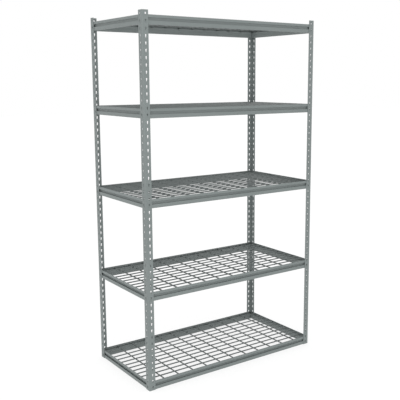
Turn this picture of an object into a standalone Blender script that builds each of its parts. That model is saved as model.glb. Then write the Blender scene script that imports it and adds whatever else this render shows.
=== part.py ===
"""Boltless steel shelving: four keyhole angle posts, twenty rivet beams, five lift-out wire decks.

Origin at the middle of the footprint on the floor, +Z up, +X to the right, front towards -Y.
"""

from math import cos, pi, sin

import bmesh
import bpy
from mathutils import Vector

INCH = 0.0254
FIT = 0.0003  # air left between two pieces that touch

# The rack as a whole.
RACK_WIDTH = 48.5 * INCH
RACK_DEPTH = 24.6 * INCH
RACK_HEIGHT = 84.0 * INCH

# Posts: an angle with its corner outward and a column of keyholes up both flanges.
POST_FLANGE = 1.54 * INCH
POST_STEEL = 0.105 * INCH
HOLE_PITCH = 1.5 * INCH
HOLE_COUNT = round(RACK_HEIGHT / HOLE_PITCH)
HOLE_LINE = 0.89 * INCH  # from the corner of the angle
HOLE_FOOT = 0.30 * INCH  # bottom of a keyhole above the start of its pitch
HOLE_TOP = 1.06 * INCH
HOLE_WIDE = 0.33 * INCH  # across the top of a keyhole
HOLE_NARROW = 0.17 * INCH  # across the foot of a keyhole that holds a rivet

# Beams: one rolled section on every side of every level. Levels are whole hole pitches.
LEVELS = [step * HOLE_PITCH for step in (0, 14, 28, 41, 54)]
BEAM_HEIGHT = 2.07 * INCH
BEAM_STEEL = 0.060 * INCH
LIP_HEIGHT = 0.85 * INCH  # outer lip that carries the rivets
LEDGE_TOP = 1.50 * INCH  # the deck rests here
LEDGE_DEPTH = 0.30 * INCH  # from the outer face to where the ledge turns down
WEB_TOP = 1.12 * INCH  # foot of the slope under the ledge
SECTION_DEPTH = 0.42 * INCH
END_BACK = 0.60 * INCH  # a beam stops this far from the outer corner of the rack
RIVET_HEIGHT = 0.43 * INCH
RIVET_SHANK = 0.15 * INCH
RIVET_HEAD = 0.34 * INCH
RIVET_RISE = 0.07 * INCH  # head thickness outside the post

# Decks: a welded wire grid that drops inside the rims and rests on the ledges.
WIRE_STACK = 0.50 * INCH  # long wires welded down on cross wires, each 0.30 in across
BAR = 0.15 * INCH  # bars as deep as the stack and this wide weigh about what the round wires do
LONG_WIRES = 13  # run left to right
LONG_PITCH = 1.983 * INCH
CROSS_WIRES = 13  # run front to back
CROSS_PITCH = 3.975 * INCH

HALF_WIDTH = RACK_WIDTH / 2
HALF_DEPTH = RACK_DEPTH / 2

for thing in list(bpy.data.objects):
    bpy.data.objects.remove(thing, do_unlink=True)


def paint(name, colour, roughness):
    material = bpy.data.materials.new(name)
    material.use_nodes = True
    shader = material.node_tree.nodes["Principled BSDF"]
    shader.inputs["Base Color"].default_value = (*colour, 1.0)
    shader.inputs["Roughness"].default_value = roughness
    return material


POST_PAINT = paint("post_paint", (0.25, 0.285, 0.28), 0.5)
BEAM_PAINT = paint("beam_paint", (0.25, 0.285, 0.28), 0.5)
WIRE_PAINT = paint("wire_paint", (0.19, 0.215, 0.21), 0.45)


def add_object(name, shape, material=None):
    bmesh.ops.recalc_face_normals(shape, faces=shape.faces[:])
    mesh = bpy.data.meshes.new(name)
    shape.to_mesh(mesh)
    shape.free()
    if material:
        mesh.materials.append(material)
    made = bpy.data.objects.new(name, mesh)
    bpy.context.scene.collection.objects.link(made)
    return made


def prism(shape, outline, place, start, end):
    """A closed prism of an outline of (a, b). place(a, b, c) is the point at c along its length."""
    rings = [[shape.verts.new(place(a, b, c)) for a, b in outline] for c in (start, end)]
    count = len(outline)
    for i in range(count):
        j = (i + 1) % count
        shape.faces.new((rings[0][i], rings[0][j], rings[1][j], rings[1][i]))
    shape.faces.new(rings[0][::-1])
    shape.faces.new(rings[1])


def hide_cutter(cutter):
    cutter.hide_render = True
    cutter.display_type = "WIRE"


def join_or_cut(target, other, operation):
    step = target.modifiers.new(other.name, "BOOLEAN")
    step.operation = operation
    step.object = other
    step.solver = "EXACT"
    hide_cutter(other)


def keyhole(foot, holds_rivet):
    """Outline (across, up) of a keyhole, drawn to a point, or to a square foot where a rivet sits."""
    wide, narrow = HOLE_WIDE / 2, HOLE_NARROW / 2
    top = [(wide, foot + HOLE_TOP), (-wide, foot + HOLE_TOP)]
    if holds_rivet:
        return [(-narrow, foot + HOLE_FOOT), (narrow, foot + HOLE_FOOT)] + top
    return [(0.0, foot + HOLE_FOOT)] + top


def make_post(name, side_x, side_y):
    """side_x and side_y are -1 or 1: the corner of the rack that this post stands in."""

    def place(from_corner_x, from_corner_y, z):
        return (side_x * (HALF_WIDTH - from_corner_x), side_y * (HALF_DEPTH - from_corner_y), z)

    angle = [
        (0, 0),
        (POST_FLANGE, 0),
        (POST_FLANGE, POST_STEEL),
        (POST_STEEL, POST_STEEL),
        (POST_STEEL, POST_FLANGE),
        (0, POST_FLANGE),
    ]
    shape = bmesh.new()
    prism(shape, angle, place, 0.0, RACK_HEIGHT)
    post = add_object(name, shape, POST_PAINT)

    cuts = bmesh.new()
    reach = 2 * POST_STEEL
    for step in range(HOLE_COUNT):
        foot = step * HOLE_PITCH
        holds_rivet = any(abs(foot - level) < 0.001 for level in LEVELS)
        outline = keyhole(foot, holds_rivet)
        prism(cuts, outline, lambda a, z, c: place(HOLE_LINE + a, c, z), -reach, reach)
        prism(cuts, outline, lambda a, z, c: place(c, HOLE_LINE + a, z), -reach, reach)
    join_or_cut(post, add_object(name + "_keyholes", cuts), "DIFFERENCE")
    return post


def beam_section():
    """Outline (in, up) of the rolled section, in measured from the outer face of the beam."""
    half = BEAM_STEEL / 2
    middle = [
        (half, BEAM_HEIGHT),
        (half, LEDGE_TOP - half),
        (LEDGE_DEPTH, LEDGE_TOP - half),
        (SECTION_DEPTH - half, WEB_TOP),
        (SECTION_DEPTH - half, half),
        (half, half),
        (half, LIP_HEIGHT),
    ]
    middle = [Vector(point) for point in middle]
    runs = [(b - a).normalized() for a, b in zip(middle, middle[1:])]
    normals = [Vector((-run.y, run.x)) for run in runs]
    near, far = [], []
    for point, before, after in zip(middle, normals[:1] + normals, normals + normals[-1:]):
        mitre = (before + after) * half / (1 + before.dot(after))
        near.append(tuple(point + mitre))
        far.append(tuple(point - mitre))
    return near + far[::-1]


def ring(across, sides, turn):
    radius = across / 2 / cos(pi / sides)
    angles = [2 * pi * (i + turn) / sides for i in range(sides)]
    return [(radius * cos(angle), radius * sin(angle)) for angle in angles]


def make_beam(name, level, along_x, side):
    """A beam on one side of the rack, with the rivet at each end that hangs it in the posts' keyholes."""
    half_length = (HALF_WIDTH if along_x else HALF_DEPTH) - END_BACK
    wall = HALF_DEPTH if along_x else HALF_WIDTH
    outer = wall - POST_STEEL - FIT

    def place(inward, up, along):
        across = side * (outer - inward)
        return (along, across, level + up) if along_x else (across, along, level + up)

    shape = bmesh.new()
    prism(shape, beam_section(), place, -half_length, half_length)
    beam = add_object(name, shape, BEAM_PAINT)

    hole = (HALF_WIDTH if along_x else HALF_DEPTH) - HOLE_LINE
    under_head = -(POST_STEEL + 2 * FIT)
    shanks, heads = bmesh.new(), bmesh.new()
    for at in (-hole, hole):

        def about_hole(a, b, c):
            return place(c, RIVET_HEIGHT + b, at + a)

        prism(shanks, ring(RIVET_SHANK, 4, 0.5), about_hole, BEAM_STEEL / 2, under_head - RIVET_RISE / 2)
        prism(heads, ring(RIVET_HEAD, 6, 0.5), about_hole, under_head, under_head - RIVET_RISE)
    join_or_cut(beam, add_object(name + "_shanks", shanks), "UNION")
    join_or_cut(beam, add_object(name + "_heads", heads), "UNION")
    return beam


def make_deck(name, level):
    """Both layers of wire as one lattice of bars, whose odd rows and columns are the openings."""

    def lines(count, pitch):
        centres = [(i - (count - 1) / 2) * pitch for i in range(count)]
        return [c + s * BAR / 2 for c in centres for s in (-1, 1)]

    xs, ys = lines(CROSS_WIRES, CROSS_PITCH), lines(LONG_WIRES, LONG_PITCH)
    low = level + LEDGE_TOP + FIT
    heights = (low, low + WIRE_STACK)
    shape = bmesh.new()
    points = {}

    def point(i, j, k):
        if (i, j, k) not in points:
            points[i, j, k] = shape.verts.new((xs[i], ys[j], heights[k]))
        return points[i, j, k]

    def solid(i, j):
        inside = 0 <= i < len(xs) - 1 and 0 <= j < len(ys) - 1
        return inside and (i % 2 == 0 or j % 2 == 0)

    for i in range(len(xs) - 1):
        for j in range(len(ys) - 1):
            if not solid(i, j):
                continue
            for k in (0, 1):
                corners = ((i, j), (i + 1, j), (i + 1, j + 1), (i, j + 1))
                shape.faces.new([point(*corner, k) for corner in corners])
            sides = (
                (-1, 0, (0, 0), (0, 1)),
                (1, 0, (1, 0), (1, 1)),
                (0, -1, (0, 0), (1, 0)),
                (0, 1, (0, 1), (1, 1)),
            )
            for di, dj, a, b in sides:
                if not solid(i + di, j + dj):
                    near, far = (i + a[0], j + a[1]), (i + b[0], j + b[1])
                    shape.faces.new((point(*near, 0), point(*far, 0), point(*far, 1), point(*near, 1)))
    return add_object(name, shape, WIRE_PAINT)


for front_rear, side_y in (("front", -1), ("rear", 1)):
    for left_right, side_x in (("left", -1), ("right", 1)):
        make_post(f"post_{front_rear}_{left_right}", side_x, side_y)

for number, level in enumerate(LEVELS, start=1):
    make_beam(f"beam_{number}_front", level, True, -1)
    make_beam(f"beam_{number}_rear", level, True, 1)
    make_beam(f"beam_{number}_left", level, False, -1)
    make_beam(f"beam_{number}_right", level, False, 1)
    make_deck(f"deck_{number}", level)
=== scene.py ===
"""Looks of the boltless steel shelving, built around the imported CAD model.

Every CAD node is replaced by a finer piece of the same size: rolled sheet steel with real bends and
keyholes, turned rivets and round welded wires. The rack's outer size and the height of every beam and
deck come from the boxes of the CAD nodes. The sizes of sheets, sections and wires repeat the CAD's.
"""

import math

import bmesh
import bpy
from mathutils import Matrix, Vector


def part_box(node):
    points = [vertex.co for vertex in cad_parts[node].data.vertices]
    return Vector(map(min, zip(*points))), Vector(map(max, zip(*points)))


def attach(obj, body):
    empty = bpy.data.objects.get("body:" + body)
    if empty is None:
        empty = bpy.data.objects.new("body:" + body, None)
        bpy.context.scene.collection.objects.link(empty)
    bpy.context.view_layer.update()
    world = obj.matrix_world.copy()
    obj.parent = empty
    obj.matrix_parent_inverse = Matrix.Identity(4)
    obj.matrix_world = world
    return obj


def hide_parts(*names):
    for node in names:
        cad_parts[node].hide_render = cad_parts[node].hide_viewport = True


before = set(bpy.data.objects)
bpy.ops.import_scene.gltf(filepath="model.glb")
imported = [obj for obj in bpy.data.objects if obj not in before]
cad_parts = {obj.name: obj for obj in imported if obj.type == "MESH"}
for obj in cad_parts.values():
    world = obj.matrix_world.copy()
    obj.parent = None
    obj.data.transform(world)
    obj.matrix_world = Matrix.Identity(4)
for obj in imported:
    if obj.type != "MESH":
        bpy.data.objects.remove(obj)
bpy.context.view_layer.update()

INCH = 0.0254
LEVELS = range(1, 6)
SIDES = ("front", "rear", "left", "right")

# ---------------------------------------------------------------- sizes
post_low, post_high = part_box("post_front_left")
CORNER_X, CORNER_Y = -post_low.x, -post_low.y  # half the width and depth over the posts
POST_FLANGE = post_high.x - post_low.x
POST_HEIGHT = post_high.z
POST_STEEL = 0.105 * INCH
HOLE_PITCH = 1.5 * INCH
HOLE_COUNT = round(POST_HEIGHT / HOLE_PITCH)
HOLE_LINE = 0.89 * INCH  # from the corner of the angle
CUT_EASE = 0.0002  # how far the cut edges of sheet steel are rounded

GAP = 0.0003  # air left between two pieces that touch
BEAM_STEEL = 0.060 * INCH
END_BACK = 0.60 * INCH  # a beam stops this far from the outer corner of the rack
LIP_HEIGHT = 0.85 * INCH  # outer lip that carries the rivets
LEDGE_TOP = 1.50 * INCH  # the deck rests here
LEDGE_DEPTH = 0.30 * INCH  # from the outer face to where the ledge turns down
WEB_TOP = 1.12 * INCH  # foot of the slope under the ledge
SECTION_DEPTH = 0.42 * INCH
RIVET_HEIGHT = 0.43 * INCH

WIRE_RADIUS = 0.150 * INCH
LONG_WIRES, LONG_PITCH = 13, 1.983 * INCH
CROSS_WIRES, CROSS_PITCH = 13, 3.975 * INCH
WIRE_OVERHANG = 0.06 * INCH  # a wire runs this far past the last wire that it crosses

# ---------------------------------------------------------------- materials
ENAMEL = (0.157, 0.180, 0.177)
WIRE_COAT = (0.105, 0.120, 0.118)
STEEL_GLOSS, RIVET_GLOSS, WIRE_GLOSS = 0.46, 0.40, 0.42  # roughness around which each one varies

# Scales of the noises in the enamel, from slow drifts of tone to orange peel.
DRIFT_SCALE, SHEEN_SCALE, PATCH_SCALE, SPECK_SCALE, PEEL_SCALE = 3.2, 38.0, 55.0, 420.0, 850.0
DRIFT_DARKEST, DRIFT_PALEST = 0.955, 1.045  # as factors of the colour
# paler colour on sharp edges: a painted highlight, partly paint thinned on the edges
EDGE_HIGHLIGHT_PALEST = 1.55
SPECK_STRENGTH = 0.06
PEEL_STRENGTH, PEEL_DEPTH = 0.22, 0.00006
EDGE_HIGHLIGHT_REACH = 0.0007  # reach of the paler edges, a painted highlight along the edges that is partly paint thinned there
EDGE_NONE, EDGE_FULL = 0.995, 0.85  # cosine between the rounded and the true normal


def link(tree, source, target):
    tree.links.new(source, target)


def add_node(tree, kind, **values):
    made = tree.nodes.new(kind)
    for name, value in values.items():
        if name in made.inputs:
            made.inputs[name].default_value = value
        else:
            setattr(made, name, value)
    return made


def noise(tree, where, scale, detail, roughness=0.5):
    made = add_node(tree, "ShaderNodeTexNoise", Scale=scale, Detail=detail, Roughness=roughness)
    link(tree, where, made.inputs["Vector"])
    return made.outputs["Fac"]


def remap(tree, value, low, high, to_low, to_high):
    made = tree.nodes.new("ShaderNodeMapRange")
    for slot, number in zip(range(1, 5), (low, high, to_low, to_high)):
        made.inputs[slot].default_value = number
    link(tree, value, made.inputs[0])
    return made.outputs[0]


def shade(colour, factor):
    return (*(channel * factor for channel in colour), 1.0)


def mix(tree, factor, first, second, blend="MIX"):
    """A colour mix. The factor and the two colours are each an output to link or a plain value."""
    made = tree.nodes.new("ShaderNodeMix")
    made.data_type = "RGBA"
    made.blend_type = blend
    for slot, value in ((0, factor), (6, first), (7, second)):
        if isinstance(value, bpy.types.NodeSocket):
            link(tree, value, made.inputs[slot])
        else:
            made.inputs[slot].default_value = value
    return made.outputs[2]


def edge_highlight_mask(tree):
    """1 on sharp edges and 0 on flat faces: where a painted highlight and thinned paint make the enamel
    paler.
    """
    rounded = add_node(tree, "ShaderNodeBevel", samples=4, Radius=EDGE_HIGHLIGHT_REACH)
    flat = tree.nodes.new("ShaderNodeNewGeometry")
    turn = add_node(tree, "ShaderNodeVectorMath", operation="DOT_PRODUCT")
    link(tree, rounded.outputs[0], turn.inputs[0])
    link(tree, flat.outputs["Normal"], turn.inputs[1])
    return remap(tree, turn.outputs["Value"], EDGE_NONE, EDGE_FULL, 0.0, 1.0)


def enamel(name, colour, shift, gloss=STEEL_GLOSS):
    """Baked grey enamel on steel: a fine orange peel, faint drifts of tone, and edges made paler by a painted
    highlight and by paint thinning there.
    """
    material = bpy.data.materials.new(name)
    material.use_nodes = True
    tree = material.node_tree
    shader = tree.nodes["Principled BSDF"]
    shader.inputs["Specular IOR Level"].default_value = 0.42
    shader.inputs["Coat Weight"].default_value = 0.10
    shader.inputs["Coat Roughness"].default_value = 0.30

    place = tree.nodes.new("ShaderNodeTexCoord")
    moved = add_node(tree, "ShaderNodeMapping")
    moved.inputs["Location"].default_value = (shift, shift * 0.7, shift * 1.3)
    link(tree, place.outputs["Object"], moved.inputs["Vector"])
    where = moved.outputs["Vector"]

    drift = remap(tree, noise(tree, where, DRIFT_SCALE, 4.0), 0.3, 0.7, 0.0, 1.0)
    tone = mix(tree, drift, shade(colour, DRIFT_DARKEST), shade(colour, DRIFT_PALEST))
    speck = remap(tree, noise(tree, where, SPECK_SCALE, 3.0), 0.35, 0.65, 0.0, 1.0)
    fleck = mix(tree, SPECK_STRENGTH, tone, speck, blend="OVERLAY")
    patchy = remap(tree, noise(tree, where, PATCH_SCALE, 4.0, 0.65), 0.40, 0.62, 0.15, 0.75)
    # sharp edges made paler in patches: a painted highlight, partly paint thinning on the edges
    highlight_and_wear = add_node(tree, "ShaderNodeMath", operation="MULTIPLY")
    link(tree, edge_highlight_mask(tree), highlight_and_wear.inputs[0])
    link(tree, patchy, highlight_and_wear.inputs[1])
    highlit_and_thinned = mix(tree, highlight_and_wear.outputs[0], fleck, shade(colour, EDGE_HIGHLIGHT_PALEST))
    link(tree, highlit_and_thinned, shader.inputs["Base Color"])

    sheen = remap(tree, noise(tree, where, SHEEN_SCALE, 3.0), 0.3, 0.7, gloss - 0.05, gloss + 0.06)
    link(tree, sheen, shader.inputs["Roughness"])

    ripple = add_node(tree, "ShaderNodeBump", Strength=PEEL_STRENGTH, Distance=PEEL_DEPTH)
    link(tree, noise(tree, where, PEEL_SCALE, 2.0), ripple.inputs["Height"])
    link(tree, ripple.outputs["Normal"], shader.inputs["Normal"])
    return material


# ---------------------------------------------------------------- shared modelling helpers
def new_object(name, shape, material):
    mesh = bpy.data.meshes.new(name)
    shape.to_mesh(mesh)
    shape.free()
    mesh.materials.append(material)
    mesh.shade_smooth()
    made = bpy.data.objects.new(name, mesh)
    bpy.context.scene.collection.objects.link(made)
    return made


def skin(shape, rings):
    """Faces between each ring of points and the next."""
    for near, far in zip(rings, rings[1:]):
        for i in range(len(near)):
            j = (i + 1) % len(near)
            shape.faces.new((near[i], near[j], far[j], far[i]))


def thicken(piece, steel, offset):
    """Turns a sheet into steel of that thickness and eases its cut edges."""
    wall = piece.modifiers.new("steel", "SOLIDIFY")
    wall.thickness = steel
    wall.offset = offset
    wall.use_even_offset = True
    wall.use_quality_normals = True
    ease = piece.modifiers.new("eased edges", "BEVEL")
    ease.width = CUT_EASE
    ease.segments = 2
    ease.limit_method = "ANGLE"
    ease.angle_limit = math.radians(50)
    ease.harden_normals = True


def fillet(points, radius, steps):
    """A polyline with every inner corner turned into an arc of that radius."""
    path = [Vector(points[0])]
    for before, corner, after in zip(points, points[1:], points[2:]):
        before, corner, after = Vector(before), Vector(corner), Vector(after)
        into, out = (corner - before).normalized(), (after - corner).normalized()
        half = into.angle(out) / 2
        reach = radius * math.tan(half)
        start, end = corner - into * reach, corner + out * reach
        centre = corner + (out - into).normalized() * (radius / math.cos(half))
        sweep = (start - centre).angle_signed(end - centre)
        for step in range(steps + 1):
            arm = (start - centre).copy()
            arm.rotate(Matrix.Rotation(-sweep * step / steps, 2))
            path.append(centre + arm)
    path.append(Vector(points[-1]))
    return path


# ---------------------------------------------------------------- posts
BEND = 0.13 * INCH  # outside radius of the post's corner
BEND_STEPS = 6
TOP_STEPS, SIDE_STEPS, FOOT_STEPS = 12, 2, 10
WIDE, WIDE_AT = 0.165 * INCH, 0.860 * INCH  # radius of a keyhole's round top, and its centre's height
NARROW, NARROW_AT = 0.085 * INCH, 0.405 * INCH  # the same of its foot


def keyhole_outline():
    """The keyhole as (across, up): from the upper right, over the round top, down to the foot and back."""
    lean = math.asin((WIDE - NARROW) / (WIDE_AT - NARROW_AT))

    def arc(radius, height, start, end, steps):
        angles = [start + (end - start) * i / steps for i in range(steps + 1)]
        return [(radius * math.cos(a), height + radius * math.sin(a)) for a in angles]

    top = arc(WIDE, WIDE_AT, -lean, math.pi + lean, TOP_STEPS)
    foot = arc(NARROW, NARROW_AT, math.pi + lean, 2 * math.pi - lean, FOOT_STEPS)

    def between(a, b):
        a, b = Vector(a), Vector(b)
        return [tuple(a.lerp(b, i / SIDE_STEPS)) for i in range(1, SIDE_STEPS)]

    outline = top + between(top[-1], foot[0]) + foot + between(foot[-1], top[0])
    return outline[1:] + outline[:1]


def cell_outline(left, right):
    """As many points as the keyhole has, round the rectangle of one hole pitch."""
    across, up = TOP_STEPS - 2, SIDE_STEPS + 1
    points = [(right + (left - right) * i / across, HOLE_PITCH) for i in range(across)]
    points += [(left, HOLE_PITCH * (1 - i / up)) for i in range(up)]
    points += [(left + (right - left) * i / across, 0.0) for i in range(across)]
    points += [(right, HOLE_PITCH * i / up) for i in range(up)]
    return points


def make_post(name, node, side_x, side_y, material):
    """side_x and side_y are -1 or 1: the corner of the rack that this post stands in."""

    def place(from_corner_x, from_corner_y, z):
        return (side_x * (CORNER_X - from_corner_x), side_y * (CORNER_Y - from_corner_y), z)

    hole = keyhole_outline()
    cell = cell_outline(BEND, POST_FLANGE)
    shape = bmesh.new()
    for step in range(HOLE_COUNT):
        foot = step * HOLE_PITCH
        for swap in (False, True):

            def at(a, z):
                return shape.verts.new(place(0, a, foot + z) if swap else place(a, 0, foot + z))

            outer = [at(a, z) for a, z in cell]
            inner = [at(HOLE_LINE + a, z) for a, z in hole]
            for i in range(len(cell)):
                j = (i + 1) % len(cell)
                ring = (outer[i], outer[j], inner[j], inner[i])
                shape.faces.new(ring[::-1] if swap else ring)
        heights = [foot + HOLE_PITCH * i / (SIDE_STEPS + 1) for i in range(SIDE_STEPS + 2)]
        turns = [math.pi / 2 * i / BEND_STEPS for i in range(BEND_STEPS + 1)]
        corner = [[(BEND * (1 - math.sin(t)), BEND * (1 - math.cos(t)), z) for t in turns] for z in heights]
        for lower, upper in zip(corner, corner[1:]):
            for i in range(BEND_STEPS):
                quad = (lower[i], lower[i + 1], upper[i + 1], upper[i])
                shape.faces.new([shape.verts.new(place(*p)) for p in quad])
    bmesh.ops.remove_doubles(shape, verts=shape.verts[:], dist=1e-5)
    bmesh.ops.recalc_face_normals(shape, faces=shape.faces[:])
    shape.faces.ensure_lookup_table()
    if shape.faces[0].normal.y * side_y < 0:
        bmesh.ops.reverse_faces(shape, faces=shape.faces[:])
    post = new_object(name, shape, material)
    thicken(post, POST_STEEL, -1.0)
    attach(post, "frame")
    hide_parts(node)


# ---------------------------------------------------------------- beams and their rivets
ROLL = 0.070 * INCH  # bend radius at the middle of the sheet
ROLL_STEPS = 4
RIVET_STEPS = 24


def make_beam(name, node, along_x, side, material):
    """A beam on one side of the rack. side is -1 for front and left, 1 for rear and right."""
    low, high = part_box(node)
    half = BEAM_STEEL / 2
    section = [
        (half, high.z - low.z),
        (half, LEDGE_TOP - half),
        (LEDGE_DEPTH, LEDGE_TOP - half),
        (SECTION_DEPTH - half, WEB_TOP),
        (SECTION_DEPTH - half, half),
        (half, half),
        (half, LIP_HEIGHT),
    ]
    path = fillet(section, ROLL, ROLL_STEPS)
    outer = (CORNER_Y if along_x else CORNER_X) - POST_STEEL - GAP
    reach = (CORNER_X if along_x else CORNER_Y) - END_BACK

    def place(inward, up, along):
        across = side * (outer - inward)
        return (along, across, low.z + up) if along_x else (across, along, low.z + up)

    shape = bmesh.new()
    rows = [[shape.verts.new(place(a, b, along)) for a, b in path] for along in (-reach, reach)]
    for i in range(len(path) - 1):
        shape.faces.new((rows[0][i], rows[0][i + 1], rows[1][i + 1], rows[1][i]))
    beam = new_object(name, shape, material)
    thicken(beam, BEAM_STEEL, 0.0)
    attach(beam, "frame")
    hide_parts(node)
    return beam


def rivet_mesh(material):
    """A mushroom-headed rivet turned about Z, with Z = 0 on the outer face of the beam's lip."""
    under = POST_STEEL + 2 * GAP
    profile = [
        (0.000, -BEAM_STEEL - 0.050 * INCH),
        (0.050 * INCH, -BEAM_STEEL - 0.046 * INCH),
        (0.088 * INCH, -BEAM_STEEL - 0.030 * INCH),
        (0.105 * INCH, -BEAM_STEEL - 0.008 * INCH),
        (0.105 * INCH, -BEAM_STEEL + 0.004 * INCH),
        (0.078 * INCH, -BEAM_STEEL + 0.006 * INCH),
        (0.078 * INCH, under),
        (0.163 * INCH, under),
        (0.170 * INCH, under + 0.008 * INCH),
        (0.166 * INCH, under + 0.022 * INCH),
        (0.148 * INCH, under + 0.042 * INCH),
        (0.112 * INCH, under + 0.059 * INCH),
        (0.060 * INCH, under + 0.068 * INCH),
        (0.000, under + 0.070 * INCH),
    ]
    shape = bmesh.new()
    turns = [2 * math.pi * i / RIVET_STEPS for i in range(RIVET_STEPS)]
    rings = []
    for r, z in profile[1:-1]:
        rings.append([shape.verts.new((r * math.cos(turn), r * math.sin(turn), z)) for turn in turns])
    skin(shape, rings)
    for (r, z), ring in ((profile[0], rings[0][::-1]), (profile[-1], rings[-1])):
        tip = shape.verts.new((r, 0, z))
        for point, following in zip(ring, ring[1:] + ring[:1]):
            shape.faces.new((tip, point, following))
    mesh = bpy.data.meshes.new("rivet")
    shape.to_mesh(mesh)
    shape.free()
    mesh.materials.append(material)
    mesh.shade_smooth()
    mesh.set_sharp_from_angle(angle=math.radians(60))
    return mesh


def add_rivets(beam, node, along_x, side, mesh):
    low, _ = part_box(node)
    face = (CORNER_Y if along_x else CORNER_X) - POST_STEEL - GAP
    hole = (CORNER_X if along_x else CORNER_Y) - HOLE_LINE
    outward = Vector((0, side, 0)) if along_x else Vector((side, 0, 0))
    for end, at in (("a", -hole), ("b", hole)):
        rivet = bpy.data.objects.new(f"{beam.name}_rivet_{end}", mesh)
        bpy.context.scene.collection.objects.link(rivet)
        rivet.rotation_mode = "QUATERNION"
        rivet.rotation_quaternion = outward.to_track_quat("Z", "Y")
        height = low.z + RIVET_HEIGHT
        rivet.location = (at, side * face, height) if along_x else (side * face, at, height)
        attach(rivet, "frame")


# ---------------------------------------------------------------- wire decks
WIRE_SIDES = 12
WELD_ACROSS, WELD_UP = 0.120 * INCH, 0.055 * INCH  # half the size of the bead where two wires meet


def add_wire(shape, start, end, radius):
    """A round wire between two points, its cut ends slightly eased."""
    run = (end - start).normalized()
    up = Vector((0, 0, 1))
    side = run.cross(up)
    ease = radius * 0.25
    rings = []
    turns = [2 * math.pi * i / WIRE_SIDES for i in range(WIRE_SIDES)]
    arms = [side * math.cos(turn) + up * math.sin(turn) for turn in turns]
    for centre, size in (
        (start, radius - ease),
        (start + run * ease, radius),
        (end - run * ease, radius),
        (end, radius - ease),
    ):
        rings.append([shape.verts.new(centre + arm * size) for arm in arms])
    skin(shape, rings)
    shape.faces.new(rings[0][::-1])
    shape.faces.new(rings[-1])


def make_deck(name, node, material):
    """Long wires welded on cross wires. Each deck is a body of its own, named as its CAD node is."""
    low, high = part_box(node)
    cross_z, long_z = low.z + WIRE_RADIUS, high.z - WIRE_RADIUS
    xs = [(i - (CROSS_WIRES - 1) / 2) * CROSS_PITCH for i in range(CROSS_WIRES)]
    ys = [(i - (LONG_WIRES - 1) / 2) * LONG_PITCH for i in range(LONG_WIRES)]
    shape = bmesh.new()
    for x in xs:
        reach = ys[-1] + WIRE_RADIUS + WIRE_OVERHANG
        add_wire(shape, Vector((x, -reach, cross_z)), Vector((x, reach, cross_z)), WIRE_RADIUS)
    for y in ys:
        reach = xs[-1] + WIRE_RADIUS + WIRE_OVERHANG
        add_wire(shape, Vector((-reach, y, long_z)), Vector((reach, y, long_z)), WIRE_RADIUS)
    meet = (cross_z + long_z) / 2
    weld = Matrix.Diagonal((WELD_ACROSS, WELD_ACROSS, WELD_UP, 1))
    for x in xs:
        for y in ys:
            spot = Matrix.Translation((x, y, meet)) @ weld
            bmesh.ops.create_icosphere(shape, subdivisions=1, radius=1.0, matrix=spot)
    bmesh.ops.recalc_face_normals(shape, faces=shape.faces[:])
    deck = new_object(name, shape, material)
    deck.data.set_sharp_from_angle(angle=math.radians(50))
    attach(deck, node)
    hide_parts(node)


# ---------------------------------------------------------------- the rack
# The number given to each enamel moves its noises, so that no two coats repeat.
for index, (front_rear, side_y) in enumerate((("front", -1), ("rear", 1))):
    for other, (left_right, side_x) in enumerate((("left", -1), ("right", 1))):
        where = f"{front_rear}_{left_right}"
        coat = enamel(f"post_enamel_{where}", ENAMEL, 1.7 + 3.1 * (2 * index + other))
        make_post(f"upright_{where}", f"post_{where}", side_x, side_y, coat)

rivet_shape = rivet_mesh(enamel("rivet_enamel", ENAMEL, 0.4, gloss=RIVET_GLOSS))
for number in LEVELS:
    beam_coat = enamel(f"beam_enamel_{number}", ENAMEL, 11.0 + 2.3 * number)
    for side_name in SIDES:
        along_x = side_name in ("front", "rear")
        side = -1 if side_name in ("front", "left") else 1
        cad_node = f"beam_{number}_{side_name}"
        rail = make_beam(f"rail_{number}_{side_name}", cad_node, along_x, side, beam_coat)
        add_rivets(rail, cad_node, along_x, side, rivet_shape)
    wire_coat = enamel(f"wire_enamel_{number}", WIRE_COAT, 31.0 + 1.9 * number, gloss=WIRE_GLOSS)
    make_deck(f"grid_{number}", f"deck_{number}", wire_coat)

# ---------------------------------------------------------------- floor, light and camera
FLOOR_HALF = 30.0
FLOOR_GREY, FLOOR_GLOW = 0.28, 0.73  # nearly white in full light, with hardly any shadow on it
FLOOR_DROP = 0.0005  # keeps it clear of the feet of the posts
WHITE = (1.0, 1.0, 1.0, 1.0)

floor_shape = bmesh.new()
bmesh.ops.create_grid(floor_shape, x_segments=8, y_segments=8, size=FLOOR_HALF)
floor_paint = bpy.data.materials.new("floor")
floor_paint.use_nodes = True
floor_shader = floor_paint.node_tree.nodes["Principled BSDF"]
floor_shader.inputs["Base Color"].default_value = (FLOOR_GREY, FLOOR_GREY, FLOOR_GREY, 1.0)
floor_shader.inputs["Emission Color"].default_value = WHITE
floor_shader.inputs["Emission Strength"].default_value = FLOOR_GLOW
floor_shader.inputs["Roughness"].default_value = 0.9
floor_shader.inputs["Specular IOR Level"].default_value = 0.1
floor = new_object("floor", floor_shape, floor_paint)
floor.location.z = -FLOOR_DROP

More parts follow.
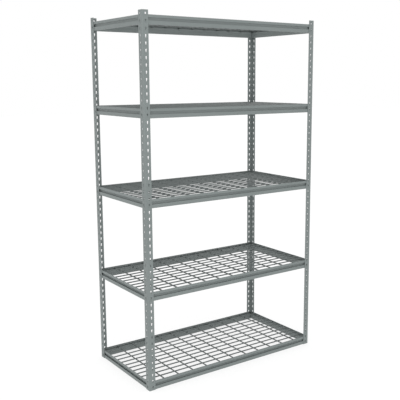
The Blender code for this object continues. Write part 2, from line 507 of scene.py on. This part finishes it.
world = bpy.data.worlds.new("studio")
world.use_nodes = True
sky = world.node_tree.nodes["Background"]
sky.inputs["Color"].default_value = WHITE
sky.inputs["Strength"].default_value = 1.0
bpy.context.scene.world = world
bpy.context.scene.view_settings.view_transform = "Standard"

KEY_PLACE, KEY_AIM = Vector((-3.0, -4.4, 2.2)), Vector((0, 0, 1.0))
KEY_WIDE, KEY_TALL, KEY_WATTS = 5.0, 3.6, 120
key_light = bpy.data.lights.new("key", "AREA")
key_light.shape = "RECTANGLE"
key_light.size, key_light.size_y = KEY_WIDE, KEY_TALL
key_light.energy = KEY_WATTS
key = bpy.data.objects.new("key", key_light)
key.location = KEY_PLACE
key.rotation_mode = "QUATERNION"
key.rotation_quaternion = (KEY_AIM - KEY_PLACE).to_track_quat("-Z", "Y")
bpy.context.scene.collection.objects.link(key)

CAMERA_PLACE = Vector((-94.677, -138.212, 69.452)) * INCH
CAMERA_YAW, CAMERA_PITCH, CAMERA_ROLL = 0.6267, 0.1661, -0.0021  # from +Y towards +X; downward
CAMERA_LENS, CAMERA_SENSOR = 60.70, 36.0
CAMERA_SHIFT = (-0.0587, -0.0161)
level = Vector((math.sin(CAMERA_YAW), math.cos(CAMERA_YAW), 0))
forward = level * math.cos(CAMERA_PITCH) - Vector((0, 0, math.sin(CAMERA_PITCH)))
right = Vector((math.cos(CAMERA_YAW), -math.sin(CAMERA_YAW), 0))
up = right.cross(forward)
rolled_right = right * math.cos(CAMERA_ROLL) + up * math.sin(CAMERA_ROLL)
rolled_up = up * math.cos(CAMERA_ROLL) - right * math.sin(CAMERA_ROLL)
lens = bpy.data.cameras.new("camera")
lens.sensor_width, lens.lens = CAMERA_SENSOR, CAMERA_LENS
lens.shift_x, lens.shift_y = CAMERA_SHIFT
lens.clip_end = 100.0
camera = bpy.data.objects.new("camera", lens)
facing = Matrix((rolled_right, rolled_up, -forward)).transposed()
camera.matrix_world = Matrix.Translation(CAMERA_PLACE) @ facing.to_4x4()
bpy.context.scene.collection.objects.link(camera)
bpy.context.scene.camera = camera
